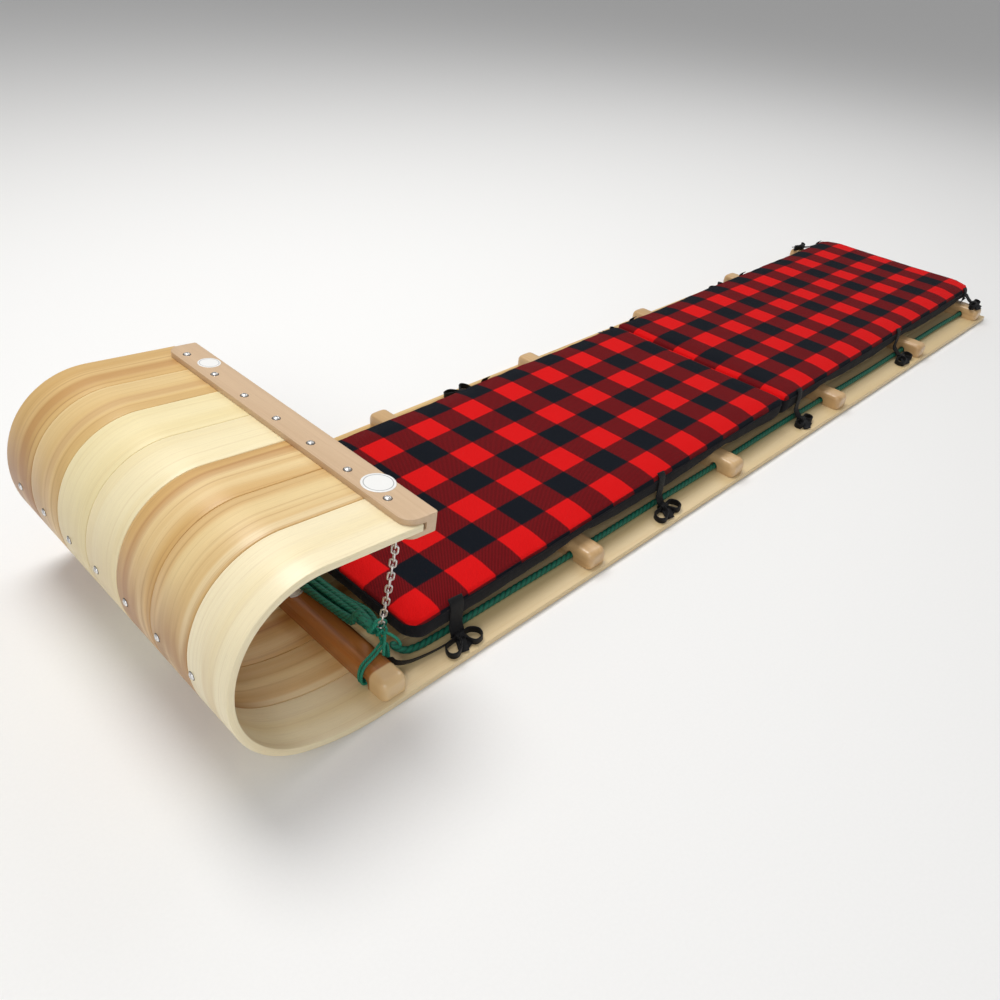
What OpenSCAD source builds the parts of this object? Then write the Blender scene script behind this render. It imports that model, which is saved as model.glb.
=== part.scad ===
// Wooden toboggan: seven bent slats on six crossbars, a grooved bar across the end of the curl,
// chains and ropes at both sides, and a two-section seat pad that folds at its middle seam.
// Origin: centre of the footprint on the ground. +X points forward to the curl, +Y to the left side.

/* [Size] */
// Overall length, from the tail to the front screws' heads
overall_len = 1829; // [1824:1:1834]

/* [Slats] */
// Number of slats side by side
slat_count = 7; // [7:1:7]
// Distance from one slat's centre line to the next
slat_pitch = 66; // [64:0.5:68]
// Gap between two slats
slat_gap = 0.5; // [0.2:0.1:2]
// Thickness of a slat
slat_t = 8; // [7:0.5:8]

/* [Curl] */
// Outer radius where the deck starts to rise
rise_r = 250; // [230:5:270]
// Outer radius of the front
front_r = 118; // [115:1:120]
// Outer radius of the top
top_r = 96; // [94:1:98]
// Turn of the rise in degrees
rise_turn = 23; // [21:1:25]
// Turn of the front in degrees
front_turn = 96; // [94:1:98]
// Turn of the top in degrees
top_turn = 66; // [64:1:68]
// Straight end of the curl, up to the bottom of the header bar's groove
lip_len = 113; // [108:1:118]

/* [Header bar] */
// Width of the header bar, along the slats
header_w = 38; // [36:1:42]
// Thickness of the header bar
header_t = 22; // [21:0.5:24]
// Length of the header bar, across the slats
header_len = 444; // [436:1:444]
// Sideways place of the header bar
header_shift = 7; // [0:1:7]
// Depth of the groove that takes the slats
groove_depth = 24; // [20:1:26]

/* [Crossbars] */
// Number of crossbars
bar_count = 6; // [6:1:6]
// Width of a crossbar, along the deck
bar_w = 32; // [28:1:34]
// Height of a crossbar
bar_h = 24; // [22:1:26]
// Length of a crossbar
bar_len = 452; // [440:1:456]
// Place of the first crossbar along X
bar_first_x = 726; // [722:1:728]
// Place of the last crossbar along X
bar_last_x = -880; // [-885:1:-875]
// Distance from one crossbar to the next, for the first five
bar_pitch = 329; // [325:1:330]

/* [Ropes and chains] */
// Diameter of the side ropes
rope_d = 9; // [8:0.5:10]
// Distance of the side ropes from the middle line
rope_y = 192; // [190:1:194]
// Diameter of the lashing cord
cord_d = 3.5; // [3:0.5:4]
// Wire diameter of the chain links
wire_d = 2; // [1.8:0.1:2.2]
// Number of links in a chain
link_count = 14; // [14:1:14]

/* [Seat pad] */
// Width of the pad
pad_w = 352; // [340:1:356]
// Thickness of the pad
pad_t = 32.7; // [30:0.1:38]
// Front end of the pad along X
pad_front_x = 684; // [650:1:685]
// Tail end of the pad along X
pad_tail_x = -907; // [-910:1:-890]
// Fold seam between the two sections along X
fold_x = -110; // [-130:1:-90]
// Sideways place of the pad on the deck
pad_shift = 15; // [0:1:15]
// Turn of the pad on the deck in degrees
pad_skew = 0.6; // [0:0.1:0.6]
// Ribbon width of the ties
ribbon_w = 12; // [10:1:14]

/* [Hidden] */
function numbered(stem, count) = [for (i = [1:count]) str(stem, i)];

round_fn = 96;          // true circles
tube_sides = 8;         // sides of a swept cord
smooth_steps = 3;       // rings between two route points
play = 0.05;            // running gap between a fastener and its hole

screw_r = 2;            // shank of the round-head screws
head_r = 4;             // their heads
head_h = 2.2;
ball_r = (head_r * head_r + head_h * head_h) / (2 * head_h);
wood_screw_r = 1.7;     // countersunk screws under the deck
wood_screw_len = 21;
sink_r = 4;             // their heads
sink_h = 2.4;
sink_depth = 0.2;
bar_screw_y = 212;      // outermost screws, outboard of the rope notches

header_screw_pitch = 62.2;
header_screw_shift = -1;
curl_screw_pitch = 62;
curl_screw_shift = -14;
curl_screw_turn = 0;    // height of the front screws, as an angle at the front arc's centre
curl_screw_len = 22;

// The curl's outer line: three tangent arcs and a straight lip, described by their centres [x, z]
tail_x = -overall_len / 2;
front_arc_x = overall_len / 2 - ball_r - (front_r + head_h - ball_r) * cos(curl_screw_turn);
rise_c = [front_arc_x - (rise_r - front_r) * sin(rise_turn), rise_r];
front_c = rise_c + (rise_r - front_r) * [sin(rise_turn), -cos(rise_turn)];
top_start = rise_turn + front_turn;
top_c = front_c + (front_r - top_r) * [sin(top_start), -cos(top_start)];
lip_turn = top_start + top_turn;
lip_p = top_c + top_r * [sin(lip_turn), -cos(lip_turn)];
lip_way = [cos(lip_turn), sin(lip_turn)];
lip_in = [-sin(lip_turn), cos(lip_turn)];
inner_r = front_r - slat_t;
arc_step = 3;

slat_w = slat_pitch - slat_gap;
deck_top = slat_t;
bar_top = deck_top + bar_h;

header_lip = 7;         // wood above the groove
header_u = lip_len - groove_depth;
header_screw_u = header_u + 12;
header_front_r = 16;
groove_gap = 5;         // from the slats' tips to the groove's bottom
header_rear_r = 5;
groove_t = slat_t + 0.3;

batten_t = 20;
batten_h = 24;
batten_len = 392;

notch_r = 6.5;
notch_h = 12;
bar_edge_r = 9;
bar_end_r = 10;

eye_r = 4;
eye_shank = 5;
eye_shank_r = 1.4;
eye_u = header_u + 7;
eye_y = 200;                            // sideways, from the header bar's middle
eye_v = header_t - header_lip + 3;      // top of the eye's ring
eye_p = lip_p + eye_u * lip_way + eye_v * lip_in;
knot_r = 7.5;
knot_p = [704, 172, 51];
link_w = 8.4;
link_gap = 0.1;
leg_r = 0.9;            // a link's straight legs, a little thinner than its bends
leg_into = 0.5;
function chain_top(side) = [eye_p.x, header_shift + side * eye_y, eye_p.y - 2 * eye_r];
function chain_foot(side) = [knot_p.x, side * knot_p.y, knot_p.z];
tail_knot_p = [-905, rope_y, 16.5];

// Left side rope, from the tail knot under the crossbars to the front knot
side_rope_route = [
    [-896, 192, 15], [-886, 192, 14.2], [-870, 192, 13.8], [-840, 192, 13.5], [-735, 190, 13], [-590, 192, 13.8], [-425, 193, 13],
    [-261, 192, 13.8], [-100, 190, 13], [68, 192, 13.8], [230, 191, 13], [397, 192, 13.8],
    [540, 190, 13], [640, 190, 13.5], [676, 189, 17], [690, 186, 25], [698, 182, 36]
];
// One turn of the left lashing round the front crossbar, through its notch
lashing_route = [
    [706.5, 186, 24], [706, 182, 42], [724, 186, 39], [741, 189, 34.5],
    [746, 190, 23], [742.5, 190.2, 12.2], [726, 190.2, 12], [709.5, 190.2, 12]
];
lashing_turn_gap = 2.2;

hank_x = 705;
hank_w = 36;
hank_len = 328;
hank_low = 32.6;
hank_high = 60;

pad_low = bar_top + 0.3;
pad_high = pad_low + pad_t;
pad_corner_r = 20;
cover_t = 1.2;
fold_gap = 0.3;

ribbon_t = 1.2;
front_tie_x = [620, 232];
rear_tie_x = [-155, -540, -880];
tie_x = concat(front_tie_x, rear_tie_x);
tie_rest = [deck_top, deck_top, deck_top, deck_top, bar_top];   // what each bow lies on
bow_y = 207;
bow_knot = 8;
bow_loop_len = 24;
bow_loop_w = 10;
bow_wall = 2;
bow_h = 5;

big_label_y = 159;
small_label_y = -155;
label_u = header_u + 22;
label_t = 0.3;
big_label_r = 17.5;
small_label_r = 13;
bar_label_r = 6.5;
bar_label_y = 34;

bar_xs = [for (i = [0:bar_count - 1]) i < bar_count - 1 ? bar_first_x - i * bar_pitch : bar_last_x];
function slat_mid(i) = (i - (slat_count + 1) / 2) * slat_pitch;
function header_screw_at(i) = header_screw_shift + (i - (slat_count + 1) / 2) * header_screw_pitch;
function curl_screw_at(i) = curl_screw_shift + (i - (slat_count + 1) / 2) * curl_screw_pitch;
function bar_screw_at(i) = i == 1 ? -bar_screw_y : i == slat_count ? bar_screw_y : slat_mid(i);

// Side view of a slat: the line at a given depth below its outer face, from the tail to the lip
function arc_line(c, r, start, turn, first) = let (n = ceil(turn / arc_step)) [for (k = [first:n])
    c + r * [sin(start + turn * k / n), -cos(start + turn * k / n)]];
function board_line(depth) = concat(
    [[tail_x, depth]],
    arc_line(rise_c, rise_r - depth, 0, rise_turn, 0),
    arc_line(front_c, front_r - depth, rise_turn, front_turn, 1),
    arc_line(top_c, top_r - depth, top_start, top_turn, 1),
    [lip_p + (lip_len - groove_gap) * lip_way + depth * lip_in]);
function backwards(p) = [for (i = [len(p) - 1:-1:0]) p[i]];

// Smooth curve through a route's points
function spline_point(a, b, c, d, t) =
    0.5 * (2 * b + (c - a) * t + (2 * a - 5 * b + 4 * c - d) * t * t + (3 * b - a - 3 * c + d) * t * t * t);
function smooth_open(p) = let (n = len(p)) concat(
    [for (i = [0:n - 2], s = [0:smooth_steps - 1])
        spline_point(p[max(i - 1, 0)], p[i], p[i + 1], p[min(i + 2, n - 1)], s / smooth_steps)],
    [p[n - 1]]);
function smooth_loop(p) = let (n = len(p)) [for (i = [0:n - 1], s = [0:smooth_steps - 1])
    spline_point(p[(i + n - 1) % n], p[i], p[(i + 1) % n], p[(i + 2) % n], s / smooth_steps)];
function unit(v) = v / norm(v);

// Tube along a curve that never runs along Y
module tube(points, d, closed = false) {
    n = len(points);
    rings = [for (i = [0:n - 1])
        let (a = points[closed ? (i + n - 1) % n : max(i - 1, 0)],
             b = points[closed ? (i + 1) % n : min(i + 1, n - 1)],
             side = unit(cross(unit(b - a), [0, 1, 0])),
             up = cross(unit(b - a), side))
        for (k = [0:tube_sides - 1])
            points[i] + d / 2 * (side * cos(360 * k / tube_sides) + up * sin(360 * k / tube_sides))];
    walls = [for (i = [0:n - (closed ? 1 : 2)], k = [0:tube_sides - 1])
        let (a = i * tube_sides, b = ((i + 1) % n) * tube_sides, k2 = (k + 1) % tube_sides)
        each [[a + k, a + k2, b + k2], [a + k, b + k2, b + k]]];
    first_cap = [for (k = [0:tube_sides - 1]) tube_sides - 1 - k];
    last_cap = [for (k = [0:tube_sides - 1]) (n - 1) * tube_sides + k];
    polyhedron(rings, closed ? walls : concat(walls, [first_cap, last_cap]));
}

// Frame of the curl's straight lip: +X runs to the slats' tips, +Z into the curl
module at_lip() {
    translate([lip_p.x, 0, lip_p.y])
        rotate([0, -lip_turn, 0])
            children();
}

// Frame of the front screws: +X runs out of the curl's front arc
module at_front() {
    translate([front_c.x, 0, front_c.y])
        rotate([0, -curl_screw_turn, 0])
            children();
}

module along_x_hole(x0, x1, y, r) {
    translate([x0, y, 0])
        rotate([0, 90, 0])
            cylinder(h = x1 - x0, r = r, $fn = round_fn);
}

module slat(i) {
    y = slat_mid(i) - slat_w / 2;
    color(i % 2 == 0 ? "burlywood" : "wheat")
        difference() {
            translate([0, y + slat_w, 0])
                rotate([90, 0, 0])
                    linear_extrude(slat_w)
                        polygon(concat(board_line(0), backwards(board_line(slat_t))));
            for (x = bar_xs)
                translate([x, bar_screw_at(i), 0]) {
                    translate([0, 0, -1])
                        cylinder(h = slat_t + 2, r = wood_screw_r + 0.2, $fn = round_fn);
                    translate([0, 0, -0.01])
                        cylinder(h = sink_h + sink_depth, r1 = sink_r + 0.2, r2 = wood_screw_r + 0.2, $fn = round_fn);
                }
            at_front()
                along_x_hole(inner_r - 3, front_r + 3, curl_screw_at(i), screw_r + play);
            at_lip()
                translate([header_screw_u, header_screw_at(i), -1])
                    cylinder(h = slat_t + 2, r = screw_r + play, $fn = round_fn);
        }
}

// Outline of the header bar seen from above: large corners in front, small ones behind
module header_plan() {
    half = header_len / 2;
    translate([header_front_r, -half])
        square([header_w - header_front_r - header_rear_r, header_len]);
    translate([0, -half + header_front_r])
        square([header_front_r, header_len - 2 * header_front_r]);
    translate([header_w - header_rear_r, -half + header_rear_r])
        square([header_rear_r, header_len - 2 * header_rear_r]);
    for (s = [-1, 1]) {
        translate([header_front_r, s * (half - header_front_r)])
            circle(header_front_r, $fn = round_fn);
        translate([header_w - header_rear_r, s * (half - header_rear_r)])
            circle(header_rear_r, $fn = round_fn);
    }
}

module header_bar() {
    color("tan")
        at_lip()
            difference() {
                translate([header_u, header_shift, -header_lip])
                    linear_extrude(header_t)
                        header_plan();
                translate([header_u - 1, -header_len, -0.15])
                    cube([groove_depth + 1.3, 2 * header_len, groove_t]);
                for (i = [1:slat_count])
                    translate([header_screw_u, header_screw_at(i), -header_lip - 1])
                        cylinder(h = header_t + 2, r = screw_r + play, $fn = round_fn);
                for (s = [-1, 1])
                    translate([eye_u, chain_top(s).y, header_t - header_lip - eye_shank])
                        cylinder(h = eye_shank + 1, r = eye_shank_r + play, $fn = round_fn);
            }
}

// Round-head screw: shank along +Z from the origin, head below it
module round_screw(length) {
    translate([0, 0, -head_h / 2])
        cylinder(h = length + head_h / 2, r = screw_r, $fn = round_fn);
    difference() {
        translate([0, 0, ball_r - head_h])
            sphere(ball_r, $fn = round_fn);
        translate([0, 0, ball_r])
            cube(2 * ball_r, center = true);
    }
}

module header_screws() {
    color("silver")
        at_lip()
            for (i = [1:slat_count])
                translate([header_screw_u, header_screw_at(i), -header_lip])
                    round_screw(header_t - 1);
}

module curl_batten() {
    color("peru")
        at_front()
            difference() {
                intersection() {
                    translate([inner_r - batten_t, curl_screw_shift - batten_len / 2, -batten_h / 2])
                        cube([batten_t + 5, batten_len, batten_h]);
                    translate([0, curl_screw_shift + batten_len / 2 + 1, 0])
                        rotate([90, 0, 0])
                            cylinder(h = batten_len + 2, r = inner_r - 0.05, $fn = round_fn);
                }
                for (i = [1:slat_count])
                    along_x_hole(front_r - curl_screw_len - 0.5, front_r, curl_screw_at(i), screw_r + play);
            }
}

module curl_screws() {
    color("silver")
        at_front()
            for (i = [1:slat_count])
                translate([front_r, curl_screw_at(i), 0])
                    rotate([0, -90, 0])
                        round_screw(curl_screw_len);
}

// Rectangle with two round upper corners
module round_top(w, h, r) {
    translate([-w / 2, 0])
        square([w, h - r]);
    translate([-w / 2 + r, 0])
        square([w - 2 * r, h]);
    for (s = [-1, 1])
        translate([s * (w / 2 - r), h - r])
            circle(r, $fn = round_fn);
}

module rounded_rect(w, l, r) {
    square([w - 2 * r, l], center = true);
    square([w, l - 2 * r], center = true);
    for (sx = [-1, 1], sy = [-1, 1])
        translate([sx * (w / 2 - r), sy * (l / 2 - r)])
            circle(r, $fn = round_fn);
}

module crossbar(i) {
    color("peru")
        translate([bar_xs[i - 1], 0, deck_top])
            difference() {
                intersection() {
                    translate([0, bar_len / 2, 0])
                        rotate([90, 0, 0])
                            linear_extrude(bar_len)
                                round_top(bar_w, bar_h, bar_edge_r);
                    translate([-bar_w / 2, 0, 0])
                        rotate([90, 0, 90])
                            linear_extrude(bar_w)
                                round_top(bar_len, bar_h, bar_end_r);
                }
                for (s = [-1, 1])
                    translate([-bar_w, s * rope_y, 0])
                        rotate([90, 0, 90])
                            linear_extrude(2 * bar_w)
                                round_top(2 * notch_r, notch_h, notch_r - 0.01);
                for (k = [1:slat_count])
                    translate([0, bar_screw_at(k), -1])
                        cylinder(h = wood_screw_len - slat_t + 2, r = wood_screw_r + play, $fn = round_fn);
            }
}

module crossbar_screws() {
    color("silver")
        for (x = bar_xs, k = [1:slat_count])
            translate([x, bar_screw_at(k), sink_depth]) {
                cylinder(h = sink_h, r1 = sink_r, r2 = wood_screw_r, $fn = round_fn);
                cylinder(h = wood_screw_len - sink_depth, r = wood_screw_r, $fn = round_fn);
            }
}

// One chain link: long way along Z, flat way along X
module chain_link(pitch) {
    bend_r = (link_w - wire_d) / 2;
    half = (pitch + 2 * wire_d + link_gap - link_w) / 2;
    for (s = [-1, 1]) {
        translate([s * bend_r, 0, -half - leg_into])
            cylinder(h = 2 * (half + leg_into), r = leg_r, $fn = round_fn);
        translate([0, 0, s * half])
            rotate([90, 0, 0])
                rotate([0, 0, s > 0 ? 0 : 180])
                    rotate_extrude(angle = 180, $fn = round_fn)
                        translate([bend_r, 0])
                            circle(wire_d / 2, $fn = round_fn);
    }
}

module chain(side) {
    top = chain_top(side);
    way = unit(chain_foot(side) - top);
    pitch = (norm(chain_foot(side) - top) - knot_r - wire_d / 2 - link_gap) / link_count;
    first = (pitch + link_gap - wire_d) / 2 - play;
    color("silver")
        for (k = [0:link_count - 1])
            translate(top + way * (first + k * pitch))
                rotate([0, acos(way.z), atan2(way.y, way.x)])
                    rotate([0, 0, k % 2 == 0 ? 0 : 90])
                        chain_link(pitch);
}

module chain_eyes() {
    color("silver")
        for (s = [-1, 1]) {
            translate(chain_top(s) + [0, 0, eye_r])
                rotate([90, 0, 0])
                    rotate_extrude($fn = round_fn)
                        translate([eye_r, 0])
                            circle(wire_d / 2, $fn = round_fn);
            at_lip()
                translate([eye_u, chain_top(s).y, header_t - header_lip - eye_shank + 0.3])
                    cylinder(h = eye_shank + 2.8, r = eye_shank_r, $fn = round_fn);
        }
}

module lashing(side) {
    color("seagreen")
        mirror([0, side < 0 ? 1 : 0, 0])
            for (s = [-1, 1])
                tube([for (p = smooth_loop(lashing_route)) p + [0, s * lashing_turn_gap, 0]], cord_d, true);
}

module lashing_knots() {
    color("seagreen")
        for (s = [-1, 1])
            translate([knot_p.x, s * knot_p.y, knot_p.z])
                sphere(knot_r, $fn = round_fn);
}

module side_rope(side) {
    color("darkgreen")
        mirror([0, side < 0 ? 1 : 0, 0])
            tube(smooth_open(side_rope_route), rope_d);
}

module rope_tail_knots() {
    color("darkgreen")
        for (s = [-1, 1])
            translate([tail_knot_p.x, s * tail_knot_p.y, tail_knot_p.z])
                sphere(knot_r, $fn = round_fn);
}

module pull_rope_hank() {
    color("seagreen")
        translate([hank_x, 0, hank_low])
            linear_extrude(hank_high - hank_low)
                rounded_rect(hank_w, hank_len, hank_w / 2 - 0.01);
}

module on_pad() {
    translate([0, pad_shift, 0])
        rotate([0, 0, pad_skew])
            children();
}

module pad_block(x0, x1, inset) {
    translate([(x0 + x1) / 2, 0, pad_low + inset])
        linear_extrude(pad_t - 2 * inset)
            rounded_rect(x1 - x0 - 2 * inset, pad_w - 2 * inset, pad_corner_r - inset);
}

module pad_cover(x0, x1) {
    color("firebrick")
        on_pad()
            difference() {
                pad_block(x0, x1, 0);
                pad_block(x0, x1, cover_t);
            }
}

module pad_foam(x0, x1) {
    color("lemonchiffon")
        on_pad()
            pad_block(x0, x1, cover_t + play);
}

module pad_cover_front() { pad_cover(fold_x + fold_gap, pad_front_x); }
module pad_foam_front() { pad_foam(fold_x + fold_gap, pad_front_x); }
module pad_cover_rear() { pad_cover(pad_tail_x, fold_x - fold_gap); }
module pad_foam_rear() { pad_foam(pad_tail_x, fold_x - fold_gap); }

// Ribbon of even thickness along a line of [y, z] points
function ribbon_side(p, s) = [for (i = [0:len(p) - 1])
    let (way = unit(p[min(i + 1, len(p) - 1)] - p[max(i - 1, 0)]))
        p[i] + s * ribbon_t / 2 * [-way.y, way.x]];

// Tie: a strap from the pad's side over the rope, and a bow that lies outside the rope
module tie(side, i) {
    x = tie_x[i - 1];
    edge = side * pad_shift + pad_w / 2 + side * x * sin(pad_skew) + ribbon_t;
    rest = tie_rest[i - 1] + 0.4;
    over_y = max(edge + 1, rope_y + rope_d / 2 + ribbon_t);
    over_z = max(rest + 8, rope_d + 13);
    route = [
        [edge, pad_high - 14], [edge + 0.5, over_z + 7], [over_y, over_z], [bow_y - bow_knot / 2 - 0.7, rest + 3]
    ];
    color("black")
        mirror([0, side < 0 ? 1 : 0, 0]) {
            translate([x - ribbon_w / 2, 0, 0])
                rotate([90, 0, 90])
                    linear_extrude(ribbon_w)
                        polygon(concat(ribbon_side(route, 1), backwards(ribbon_side(route, -1))));
            translate([x, bow_y, rest])
                linear_extrude(bow_h)
                    bow_plan();
        }
}

// A bow lying flat: the knot and two open loops
module bow_plan() {
    square(bow_knot, center = true);
    for (s = [-1, 1])
        translate([s * (bow_knot + bow_loop_len - 2) / 2, bow_knot / 2 - 1])
            difference() {
                rounded_rect(bow_loop_len, bow_loop_w, bow_loop_w / 2 - 0.01);
                rounded_rect(
                    bow_loop_len - 2 * bow_wall, bow_loop_w - 2 * bow_wall, bow_loop_w / 2 - bow_wall - 0.01);
            }
}

module labels_header() {
    color("white")
        at_lip()
            for (label = [[big_label_y, big_label_r], [small_label_y, small_label_r]])
                translate([label_u, label[0], -header_lip - label_t])
                    cylinder(h = label_t, r = label[1], $fn = round_fn);
}

module label_crossbar() {
    color("white")
        translate([bar_first_x, bar_label_y, bar_top])
            cylinder(h = label_t, r = bar_label_r, $fn = round_fn);
}

for (i = [1:slat_count])
    slat(i);
for (i = [1:bar_count])
    crossbar(i);
for (i = [1:5]) {
    tie(1, i);
    tie(-1, i);
}
header_bar();
header_screws();
curl_batten();
curl_screws();
crossbar_screws();
chain(1);  // chain_left
chain(-1);  // chain_right
chain_eyes();
lashing(1);  // lashing_left
lashing(-1);  // lashing_right
lashing_knots();
side_rope(1);  // side_rope_left
side_rope(-1);  // side_rope_right
rope_tail_knots();
pull_rope_hank();
pad_cover_front();
pad_foam_front();
pad_cover_rear();
pad_foam_rear();
labels_header();
label_crossbar();
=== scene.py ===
import math

import bmesh
import bpy
import numpy as np
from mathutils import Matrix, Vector, noise


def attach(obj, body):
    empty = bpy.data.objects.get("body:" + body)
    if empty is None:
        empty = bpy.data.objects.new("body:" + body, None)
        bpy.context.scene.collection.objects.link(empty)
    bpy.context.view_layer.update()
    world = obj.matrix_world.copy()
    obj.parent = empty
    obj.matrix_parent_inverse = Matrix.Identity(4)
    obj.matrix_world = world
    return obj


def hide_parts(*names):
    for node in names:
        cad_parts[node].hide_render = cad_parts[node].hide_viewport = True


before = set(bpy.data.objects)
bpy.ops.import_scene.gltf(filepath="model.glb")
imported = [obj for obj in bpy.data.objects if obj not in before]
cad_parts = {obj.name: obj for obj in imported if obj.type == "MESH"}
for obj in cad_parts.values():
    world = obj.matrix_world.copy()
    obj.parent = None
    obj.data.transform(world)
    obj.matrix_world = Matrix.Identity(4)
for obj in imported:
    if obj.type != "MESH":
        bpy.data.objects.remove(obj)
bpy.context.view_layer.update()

# Looks of the wooden toboggan, in metres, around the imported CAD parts. +X points forward to the
# curl, +Y to the left side, and the floor is at z = 0.

MM = 0.001
TURN = 2 * math.pi  # once round, in radians
BASE, REAR = "toboggan", "rear_pad"
SIDES = {"left": 1, "right": -1}

# Places and sizes that the parts share, in millimetres as in the part's source
TAIL_X = -914.5
SLAT_T, SLAT_W, SLAT_PITCH, SLATS = 8, 65.5, 66, 7
RISE_C, RISE_R = (742.72, 250), 250
FRONT_C, FRONT_R = (794.3, 128.49), 118
TOP_C, TOP_R = (813.54, 139.16), 96
RISE_TURN, FRONT_TURN, TOP_TURN = 23, 96, 66
LIP_P, LIP_LEN = (805.17, 234.79), 113
LIP_WAY, LIP_IN = (-0.9962, -0.0872), (0.0872, -0.9962)
GROOVE_GAP = 5  # from the slats' tips to the groove's bottom
HEADER_U, HEADER_W, HEADER_LIP, HEADER_SHIFT = 89, 38, 7, 7
BAR_XS = [726, 397, 68, -261, -590, -880]
BAR_W, BAR_TOP = 32, 32
PAD_SHIFT, PAD_TURN = 15, math.radians(0.6)
PAD_W, PAD_LOW, PAD_HIGH = 352, 32.3, 65
PAD_FRONT, PAD_TAIL, FOLD_X = 684, -907, -110
KNOT_P = (704, 172, 51)
CHAIN_TOP = (711.1, 200, 200.5)
TAIL_KNOT = (-905, 192, 16.5)


# ---------------------------------------------------------------- camera
CAMERA_AT = (1.12318, 0.70992, 0.71722)
CAMERA_TURN = (54.274, -4.019, 135.205)
CAMERA_LENS = 31.396


def add_camera():
    data = bpy.data.cameras.new("camera")
    data.lens, data.sensor_width = CAMERA_LENS, 36
    camera = bpy.data.objects.new("camera", data)
    camera.location = CAMERA_AT
    camera.rotation_euler = [math.radians(a) for a in CAMERA_TURN]
    bpy.context.scene.collection.objects.link(camera)
    bpy.context.scene.camera = camera


add_camera()


# ---------------------------------------------------------------- mesh helpers
def unit(v):
    v = np.asarray(v, float)
    return v / np.maximum(np.linalg.norm(v, axis=-1, keepdims=True), 1e-12)


def evenly(line, step):
    """The line again, with points about step apart."""
    along = lengths_along(line)
    at = np.linspace(0, along[-1], max(3, round(along[-1] / step) + 1))
    return np.stack([np.interp(at, along, line[:, k]) for k in range(3)], axis=1)


def smooth_path(points, step):
    """Evenly spaced points on a smooth curve through the given ones."""
    p = np.array(points, float)
    t = np.linspace(0, 1, 17)[:-1, None]
    p = np.concatenate([p[:1], p, p[-1:]])
    parts = [0.5 * (2 * b + (c - a) * t + (2 * a - 5 * b + 4 * c - d) * t ** 2
                    + (3 * b - a - 3 * c + d) * t ** 3)
             for a, b, c, d in zip(p, p[1:], p[2:], p[3:])]
    return evenly(np.concatenate(parts + [p[-1:]]), step)


def lengths_along(line):
    """Distance of each point from the start of a line."""
    return np.concatenate([[0], np.cumsum(np.linalg.norm(np.diff(line, axis=0), axis=1))])


def tube_rings(path, radius, angle, side, normal):
    """Rings of points round a path; radius is one number, or one for each point of each ring."""
    cos, sin = np.cos(angle)[None, :, None], np.sin(angle)[None, :, None]
    return path[:, None] + radius * (cos * side[:, None] + sin * normal[:, None])


def angles_round(count):
    """Evenly spaced angles once round, without the last one, which would repeat the first."""
    return np.linspace(0, TURN, count + 1)[:-1]


def vertex_places(mesh):
    places = np.zeros(len(mesh.vertices) * 3)
    mesh.vertices.foreach_get("co", places)
    return places.reshape(-1, 3)


def carried_frames(path, up, loop=False):
    """Side and normal at each point of a path, turned no more than the path turns."""
    path = np.asarray(path, float)
    ahead = np.roll(path, -1, 0) - np.roll(path, 1, 0) if loop else np.gradient(path, axis=0)
    tangent = unit(ahead)
    normal = np.zeros_like(path)
    last = np.asarray(up, float)
    for i, t in enumerate(tangent):
        last = last - t * (last @ t)
        last = last / max(np.linalg.norm(last), 1e-9)
        normal[i] = last
    return np.cross(tangent, normal), normal


def round_corners(corners, steps):
    """Outline of a rectangle, from its corners' centres and radii, each a quarter turn on."""
    return np.array([(cx + r * math.cos(a), cy + r * math.sin(a))
                     for k, (cx, cy, r) in enumerate(corners)
                     for a in np.radians(np.linspace(90 * k, 90 * k + 90, steps + 1))])


class Shape:
    """Collects the vertices, the faces and one vector per vertex of a mesh, for its material."""

    def __init__(self):
        self.points, self.faces, self.notes, self.slots, self.count = [], [], [], [], 0

    def add(self, points, faces, notes=None, slot=0):
        points = np.asarray(points, float).reshape(-1, 3)
        self.points.append(points)
        notes = np.zeros_like(points) if notes is None else np.asarray(notes).reshape(-1, 3)
        self.notes.append(notes)
        self.faces += [tuple(self.count + k for k in f) for f in faces]
        self.slots += [slot] * len(faces)
        self.count += len(points)
        return self

    def loft(self, rings, notes=None, loop=False, slot=0):
        """Adds a surface through closed rings of points, with flat ends unless it is a loop."""
        rings = np.asarray(rings, float)
        n, m = rings.shape[:2]
        faces = [(i * m + k, i * m + (k + 1) % m, (i + 1) % n * m + (k + 1) % m, (i + 1) % n * m + k)
                 for i in range(n if loop else n - 1) for k in range(m)]
        if not loop:
            faces += [tuple(range(m))[::-1], tuple((n - 1) * m + k for k in range(m))]
        return self.add(rings, faces, notes, slot)

    def piece(self, name, materials, body, slot, nodes=(), note_name=None, sharp=None):
        """Makes the mesh and puts it in the scene. note_name names the attribute that keeps the
        vectors, and sharp is the angle in degrees from which an edge is shaded sharp."""
        mesh = bpy.data.meshes.new(name)
        mesh.from_pydata(np.concatenate(self.points).tolist(), [], self.faces)
        mesh.polygons.foreach_set("material_index", self.slots)
        if note_name:
            mesh.attributes.new(note_name, "FLOAT_VECTOR", "POINT").data.foreach_set(
                "vector", np.concatenate(self.notes).astype(np.float32).ravel())
        tidy = bmesh.new()
        tidy.from_mesh(mesh)
        bmesh.ops.recalc_face_normals(tidy, faces=tidy.faces)
        tidy.to_mesh(mesh)
        tidy.free()
        mesh.shade_smooth()
        if sharp:
            mesh.set_sharp_from_angle(angle=math.radians(sharp))
        return place(name, mesh, materials, body, nodes)


def place(name, mesh, materials, body, nodes=()):
    """Puts a mesh in the scene as a piece that rides on a body."""
    obj = bpy.data.objects.new(name, mesh)
    bpy.context.scene.collection.objects.link(obj)
    for material in materials:
        mesh.materials.append(material)
    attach(obj, body)
    if nodes:
        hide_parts(*nodes)
    return obj


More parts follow.
